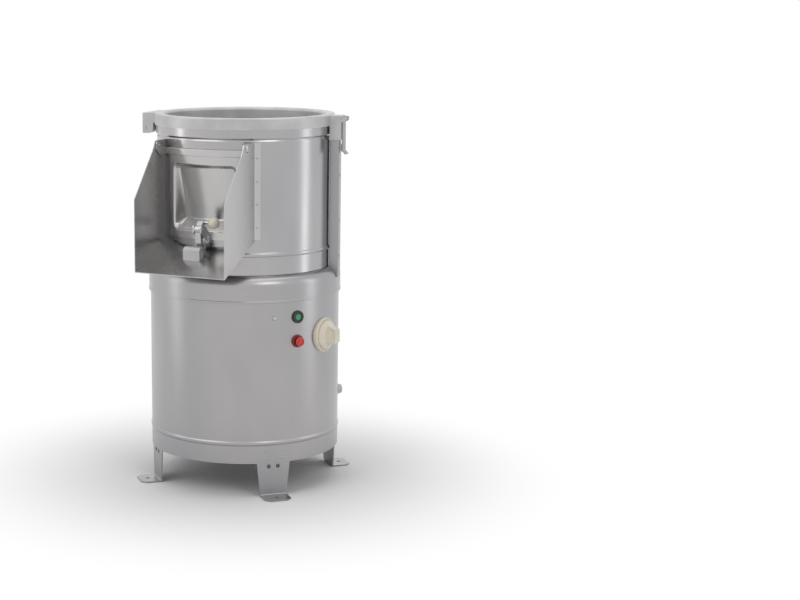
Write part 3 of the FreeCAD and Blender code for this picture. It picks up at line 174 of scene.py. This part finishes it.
def moulded(name, colour, rough, coat=0.2, size=900, depth=0.00003):
    """Moulded plastic or rubber with a faint mottle and skin."""
    made, tree, lit = shader(name, colour, 0.0, rough, coat)
    mottle = noise(tree, (45, 45, 45))
    tint(tree, lit, mottle, [c * 0.94 for c in colour], [min(1.0, c * 1.04) for c in colour])
    dull = spread(tree, noise(tree, (120, 120, 120)), rough - 0.04, rough + 0.05)
    tree.links.new(dull, lit.inputs["Roughness"])
    bumps(tree, lit, [(noise(tree, (size, size, size), 3.0), depth)])
    return made


def gritty(name, colour):
    """Bonded abrasive grit: bright and dark grains standing up from the binder."""
    made, tree, lit = shader(name, colour, 0.0, 0.85)
    where = tree.nodes.new("ShaderNodeTexCoord")
    grain = tree.nodes.new("ShaderNodeTexVoronoi")
    grain.inputs["Scale"].default_value = 420
    tree.links.new(where.outputs["Object"], grain.inputs["Vector"])
    ramp = tree.nodes.new("ShaderNodeValToRGB")
    ramp.color_ramp.elements[0].color = (*[c * 0.5 for c in colour], 1)
    ramp.color_ramp.elements[1].color = (*[c * 1.9 for c in colour], 1)
    tree.links.new(grain.outputs["Color"], ramp.inputs["Fac"])
    tree.links.new(ramp.outputs["Color"], lit.inputs["Base Color"])
    bumps(tree, lit, [(grain, -0.0012), (noise(tree, (30, 30, 30)), 0.002)])
    return made


looks = {
    "steel_shell": steel("sheet_steel", (0.36, 0.36, 0.37), 0.30),
    "drum_steel": steel("drum_sheet", (0.40, 0.40, 0.41), 0.24),
    "bright_steel": steel("bright_sheet", (0.48, 0.48, 0.48), 0.25, wave=0.02),
    "cast_ring": rough_metal("ring_casting", (0.60, 0.60, 0.60), 0.40, 260, 0.0001, 0.25),
    "pin_steel": rough_metal("turned_steel", (0.48, 0.48, 0.49), 0.26, 700, 0.00004),
    "dark_steel": rough_metal("dark_rolled_steel", (0.30, 0.30, 0.31), 0.34, 500, 0.00006),
    "cream_plastic": moulded("cream_moulding", (0.86, 0.79, 0.66), 0.34),
    "green_plastic": moulded("green_moulding", (0.02, 0.36, 0.13), 0.22, 0.5),
    "red_plastic": moulded("red_moulding", (0.72, 0.03, 0.02), 0.22, 0.5),
    "dark_red_plastic": moulded("dark_red_moulding", (0.20, 0.012, 0.015), 0.36),
    "black_plastic": moulded("black_moulding", (0.012, 0.012, 0.013), 0.38),
    "gland_plastic": moulded("pale_moulding", (0.62, 0.63, 0.65), 0.45),
    "seal_rubber": moulded("seal_rubber", (0.02, 0.02, 0.02), 0.6, 0.0),
    "grit": gritty("bonded_grit", (0.20, 0.195, 0.19)),
    "motor_paint": rough_metal("motor_paint", (0.16, 0.19, 0.22), 0.42, 400, 0.00008, 0.0),
    "cast_iron": rough_metal("cast_iron", (0.22, 0.22, 0.22), 0.5, 350, 0.0002),
}
slots = {part["node"]: part["material_slot"] for part in frame["record"]["subparts"]}
for name, obj in nodes.items():
    obj.data.materials.clear()
    obj.data.materials.append(looks[slots[name]])


def piece(name, mesh, look, body, smooth=40):
    """A finished piece that rides on a body and is shaded smooth up to an angle."""
    obj = bpy.data.objects.new(name, mesh)
    scene.collection.objects.link(obj)
    mesh.materials.append(looks[look])
    for face in mesh.polygons:
        face.use_smooth = True
    mesh.set_sharp_from_angle(angle=math.radians(smooth))
    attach(obj, body)
    return obj


def to_mesh(name, bm):
    bmesh.ops.recalc_face_normals(bm, faces=bm.faces)
    mesh = bpy.data.meshes.new(name)
    bm.to_mesh(mesh)
    bm.free()
    return mesh


def lathe(bm, profile, place, turns=48):
    """A closed profile of (radius, height) points turned about the local Z of place."""
    rings = []
    for step in range(turns):
        spin = Matrix.Rotation(2 * math.pi * step / turns, 4, "Z")
        rings.append([bm.verts.new(place @ (spin @ Vector((r, 0, h)))) for r, h in profile])
    count = len(profile)
    for i in range(turns):
        for j in range(count):
            one, two = rings[i], rings[(i + 1) % turns]
            bm.faces.new((one[j], two[j], two[(j + 1) % count], one[(j + 1) % count]))
    return rings


def facing(point, direction):
    """A frame whose Z looks along direction."""
    return Matrix.Translation(point) @ Vector(direction).to_track_quat("Z", "Y").to_matrix().to_4x4()


def smoothstep(value):
    value = max(0.0, min(1.0, value))
    return value * value * (3 - 2 * value)


DOOR_OUT, DOOR_LOW, DOOR_HIGH = 0.2017, 0.572, 0.766
DISH_LOW, DISH_HIGH, DISH_HALF = 0.5865, 0.7345, math.radians(23.2)
DOOR_HALF = math.radians(27)


def dish_depth(angle, z):
    """How far the pressed recess lies behind the door sheet."""
    half = DOOR_OUT * DISH_HALF
    middle, tall = (DISH_LOW + DISH_HIGH) / 2, (DISH_HIGH - DISH_LOW) / 2
    corner = 0.016
    dx = max(abs(angle) * DOOR_OUT - half + corner, 0.0)
    dz = max(abs(z - middle) - tall + corner, 0.0)
    inside = corner - math.hypot(dx, dz)
    if dx == 0.0:
        inside = min(inside, tall - abs(z - middle))
    if dz == 0.0:
        inside = min(inside, half - abs(angle) * DOOR_OUT)
    ramp = 0.033 * min(1.0, max(0.0, (z - DISH_LOW) / 0.026))
    slope = 0.033 - 0.023 * max(0.0, (z - DISH_LOW - 0.026) / (DISH_HIGH - DISH_LOW - 0.026))
    floor = min(ramp, slope)
    round_off = 0.004
    blend = max(0.0, round_off - abs(ramp - slope))
    floor -= blend * blend / (4 * round_off)
    return smoothstep(inside / 0.009) * floor


def door_panel():
    bm = bmesh.new()
    wide, tall = 120, 130
    for skin in (0.0, 0.0014):
        grid = []
        for j in range(tall + 1):
            z = DOOR_LOW + (DOOR_HIGH - DOOR_LOW) * j / tall
            row = []
            for i in range(wide + 1):
                angle = DOOR_HALF * (2 * i / wide - 1)
                radius = DOOR_OUT - dish_depth(angle, z) - skin
                row.append(bm.verts.new((math.sin(angle) * radius, -math.cos(angle) * radius, z)))
            grid.append(row)
        for j in range(tall):
            for i in range(wide):
                bm.faces.new((grid[j][i], grid[j][i + 1], grid[j + 1][i + 1], grid[j + 1][i]))
        if skin == 0.0:
            outer = grid
    border = [(0, i) for i in range(wide + 1)] + [(j, wide) for j in range(1, tall + 1)]
    border += [(tall, i) for i in range(wide - 1, -1, -1)] + [(j, 0) for j in range(tall - 1, 0, -1)]
    for k, (j, i) in enumerate(border):
        nj, ni = border[(k + 1) % len(border)]
        bm.faces.new((outer[j][i], outer[nj][ni], grid[nj][ni], grid[j][i]))
    return piece("door_panel", to_mesh("door_panel", bm), "bright_steel", "door", 50)


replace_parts(door_panel(), "discharge_door")


def pan_head(bm, point, direction, radius, rise):
    """A domed screw head with a small round recess."""
    place = facing(point, direction)
    steps = [t * math.pi / 12 for t in range(6)]
    rim = [(radius * 0.45, 0.0), (radius, 0.0)]
    dome = [(radius * math.cos(t), rise * (0.35 + 0.65 * math.sin(t))) for t in steps]
    recess = [(radius * 0.16, rise), (radius * 0.14, rise * 0.55)]
    recess += [(radius * 0.05, rise * 0.5), (radius * 0.05, 0.0)]
    lathe(bm, rim + dome + recess, place, 24)


# Lathe profiles of small parts: (radius, height) in metres.
SMALL_WELD = [(0.0002, 0.0), (0.0026, 0.0), (0.0022, 0.00035), (0.0002, 0.00045)]
LEG_WELD = [(0.0002, 0.0), (0.0032, 0.0), (0.0026, 0.0003), (0.0002, 0.0004)]
HEX_HEAD = [(0.001, 0.0), (0.0065, 0.0), (0.0065, 0.0045), (0.0058, 0.0052), (0.001, 0.0052)]
CAP_RING = [(0.0062, 0.0), (0.0072, 0.0), (0.0070, 0.0006), (0.0064, 0.0006)]
POST_TURN, POST_OUT = 100, 0.2227
BEAD = 0.0011
DECK_UNDER = 0.195
MOTOR_AWAY = 0.112
RIB_FOOT, RIB_TOP, RIB_TAPER = 0.0004, 0.0058, 0.0004
SEAM_TURN, SEAM_HALF, SEAM_RISE, SEAM_RIPPLE, SEAM_SINK = 172, 0.45, 0.00045, 0.00010, 0.0002


screws = bmesh.new()
for z in (0.52, 0.60, 0.70):
    pan_head(screws, bearing(POST_TURN, POST_OUT, z), bearing(POST_TURN, 1), 0.0036, 0.0016)
piece("post_screws", to_mesh("post_screws", screws), "pin_steel", "housing")

spots = bmesh.new()
for side in (-1, 1):
    for z in (0.60, 0.65, 0.70, 0.75):
        turn = side * 35.3
        lathe(spots, SMALL_WELD, facing(bearing(turn, 0.1996, z), bearing(turn, 1)), 16)
for turn in (45, 135, 225, 315):
    for aside in (-5.5, 5.5):
        for z in (0.087, 0.106):
            lathe(spots, LEG_WELD, facing(bearing(turn + aside, 0.2149, z), bearing(turn + aside, 1)), 16)
piece("weld_spots", to_mesh("weld_spots", spots), "steel_shell", "housing")

bolts = bmesh.new()
for step in range(6):
    spot = bearing(60 * step + 30, 0.052, DECK_UNDER)
    lathe(bolts, HEX_HEAD, facing(spot, (0, 0, -1)), 6)
for step in range(4):
    spot = bearing(90 * step + 45, 0.048, DECK_UNDER) + Vector((0, -MOTOR_AWAY, 0))
    if spot.length > 0.2:
        lathe(bolts, HEX_HEAD, facing(spot, (0, 0, -1)), 6)
piece("deck_bolts", to_mesh("deck_bolts", bolts), "pin_steel", "housing", 20)

rim = bmesh.new()
rim_place = facing(bearing(82.5, 0.2202, 0.35), bearing(82.5, 1))
for radius in (0.0362, 0.0336):
    round_steps = [t * math.pi / 4 for t in range(8)]
    bead = [(radius + BEAD * math.cos(t), BEAD * math.sin(t)) for t in round_steps]
    lathe(rim, bead, rim_place, 72)
piece("dial_beads", to_mesh("dial_beads", rim), "cream_plastic", "housing")

mark = bmesh.new()
mark_place = facing(bearing(60, 0.2292, 0.347), bearing(60, 1))
lathe(mark, CAP_RING, mark_place, 40)
piece("red_cap_ring", to_mesh("red_cap_ring", mark), "red_plastic", "red_button")

ribs = bmesh.new()
gland_place = facing(bearing(127.5, 0.2152, 0.188), bearing(127.5, 1))
for step in range(20):
    spin = Matrix.Rotation(2 * math.pi * step / 20, 4, "Z")
    corners = [(0.0122, -0.0011), (0.0133, -0.0006), (0.0133, 0.0006), (0.0122, 0.0011)]
    tops = [(x - (RIB_TAPER if x > 0.013 else 0), y) for x, y in corners]
    low = [ribs.verts.new(gland_place @ (spin @ Vector((x, y, RIB_FOOT)))) for x, y in corners]
    high = [ribs.verts.new(gland_place @ (spin @ Vector((x, y, RIB_TOP)))) for x, y in tops]
    ribs.faces.new(low)
    ribs.faces.new(high)
    for k in range(4):
        ribs.faces.new((low[k], low[(k + 1) % 4], high[(k + 1) % 4], high[k]))
piece("gland_ribs", to_mesh("gland_ribs", ribs), "gland_plastic", "housing", 30)


def seam(name, turn, radius, low, high, look):
    """A dressed butt weld down a rolled sheet."""
    bm = bmesh.new()
    rows = 160
    grid = []
    for j in range(rows + 1):
        z = low + (high - low) * j / rows
        ripple = SEAM_RIPPLE * math.sin(j * 1.7)
        row = []
        for k in range(7):
            across = k / 3 - 1
            rise = SEAM_RISE * (1 - across * across) + ripple * (1 - across * across) - SEAM_SINK
            row.append(bm.verts.new(bearing(turn + across * SEAM_HALF, radius + rise, z)))
        grid.append(row)
    for j in range(rows):
        for k in range(6):
            bm.faces.new((grid[j][k], grid[j][k + 1], grid[j + 1][k + 1], grid[j + 1][k]))
    return piece(name, to_mesh(name, bm), look, "housing", 60)


seam("base_seam", SEAM_TURN, 0.215, 0.130, 0.435, "steel_shell")
seam("drum_seam", SEAM_TURN, 0.198, 0.545, 0.783, "drum_steel")


def white_rays(tree):
    """One for rays from the lens, a mirror or a clear piece: the background is white to these."""
    path = tree.nodes.new("ShaderNodeLightPath")
    seen = path.outputs["Is Camera Ray"]
    for kind in ("Is Glossy Ray", "Is Transmission Ray"):
        larger = tree.nodes.new("ShaderNodeMath")
        larger.operation = "MAXIMUM"
        tree.links.new(seen, larger.inputs[0])
        tree.links.new(path.outputs[kind], larger.inputs[1])
        seen = larger.outputs[0]
    return seen


FLOOR_RADIUS, FLOOR_FADE_NEAR, FLOOR_FADE_FAR = 0.8, 0.22, 0.76


def flat_ground():
    """A pale floor that keeps the shadow near the object and fades into the white background."""
    bm = bmesh.new()
    bmesh.ops.create_circle(bm, cap_ends=True, segments=160, radius=FLOOR_RADIUS)
    mesh = bpy.data.meshes.new("floor")
    bm.to_mesh(mesh)
    bm.free()
    obj = bpy.data.objects.new("floor", mesh)
    scene.collection.objects.link(obj)
    made, tree, lit = shader("pale_floor", (0.9, 0.9, 0.9), 0.0, 0.8)
    tint(tree, lit, noise(tree, (3, 3, 3)), (0.94, 0.94, 0.94), (0.96, 0.96, 0.96))
    where = tree.nodes.new("ShaderNodeTexCoord")
    away = tree.nodes.new("ShaderNodeVectorMath")
    away.operation = "LENGTH"
    tree.links.new(where.outputs["Object"], away.inputs[0])
    fade = tree.nodes.new("ShaderNodeMapRange")
    fade.interpolation_type = "SMOOTHSTEP"
    fade.inputs["From Min"].default_value = FLOOR_FADE_NEAR
    fade.inputs["From Max"].default_value = FLOOR_FADE_FAR
    tree.links.new(away.outputs["Value"], fade.inputs["Value"])
    share = tree.nodes.new("ShaderNodeMath")
    share.operation = "MULTIPLY"
    tree.links.new(fade.outputs["Result"], share.inputs[0])
    tree.links.new(white_rays(tree), share.inputs[1])
    white = tree.nodes.new("ShaderNodeEmission")
    white.inputs["Color"].default_value = (1, 1, 1, 1)
    both = tree.nodes.new("ShaderNodeMixShader")
    tree.links.new(share.outputs[0], both.inputs["Fac"])
    tree.links.new(lit.outputs[0], both.inputs[1])
    tree.links.new(white.outputs[0], both.inputs[2])
    tree.links.new(both.outputs[0], tree.nodes["Material Output"].inputs["Surface"])
    mesh.materials.append(made)
    obj.location.z = -0.0005
    obj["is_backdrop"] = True


flat_ground()


def studio():
    """A white room for the lens and for the metal to mirror, with a soft grey level for the rest."""
    world = bpy.data.worlds.new("studio")
    scene.world = world
    world.use_nodes = True
    tree = world.node_tree
    tree.nodes.clear()
    room = tree.nodes.new("ShaderNodeBackground")
    room.inputs["Color"].default_value = (0.45, 0.45, 0.46, 1)
    white = tree.nodes.new("ShaderNodeBackground")
    white.inputs["Color"].default_value = (1, 1, 1, 1)
    both = tree.nodes.new("ShaderNodeMixShader")
    tree.links.new(white_rays(tree), both.inputs["Fac"])
    tree.links.new(room.outputs[0], both.inputs[1])
    tree.links.new(white.outputs[0], both.inputs[2])
    out = tree.nodes.new("ShaderNodeOutputWorld")
    tree.links.new(both.outputs[0], out.inputs["Surface"])


studio()


def soft_box(name, place, aim, size, power, tall=None):
    """A soft lamp of a size in metres and a power in watts. The lens doesn't see it."""
    light = bpy.data.lights.new(name, "AREA")
    light.size = size
    if tall:
        light.shape = "RECTANGLE"
        light.size_y = tall
    light.energy = power
    obj = bpy.data.objects.new(name, light)
    scene.collection.objects.link(obj)
    obj.location = place
    obj.rotation_euler = (Vector(aim) - Vector(place)).to_track_quat("-Z", "Y").to_euler()
    obj.visible_camera = False


MIDDLE = (0, 0, 0.5)
soft_box("key", (-1.3, -2.9, 2.7), MIDDLE, 2.6, 24)
soft_box("side", (2.6, -1.6, 2.4), MIDDLE, 1.4, 12)
soft_box("left_strip", bearing(-60, 2.2, 0.8), MIDDLE, 0.35, 3, 1.8)
soft_box("right_strip", bearing(110, 2.2, 0.8), MIDDLE, 0.35, 3, 1.8)
soft_box("overhead", (0, 0.2, 3.1), (0, 0, 0), 2.6, 18)

# The camera fitted to the photograph: bearing, distance and height in metres, degrees down, lens in mm.
view_turn, view_far, view_high, view_down = 27.5, 3.779, 1.087, 10.22
lens = bpy.data.cameras.new("camera")
lens.lens = 75.24
lens.sensor_width = 36
lens.shift_x = 0.194
camera = bpy.data.objects.new("camera", lens)
scene.collection.objects.link(camera)
camera.location = bearing(view_turn, view_far, view_high)
camera.rotation_euler = (math.radians(90 - view_down), 0, math.radians(view_turn))
scene.camera = camera

low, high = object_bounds()
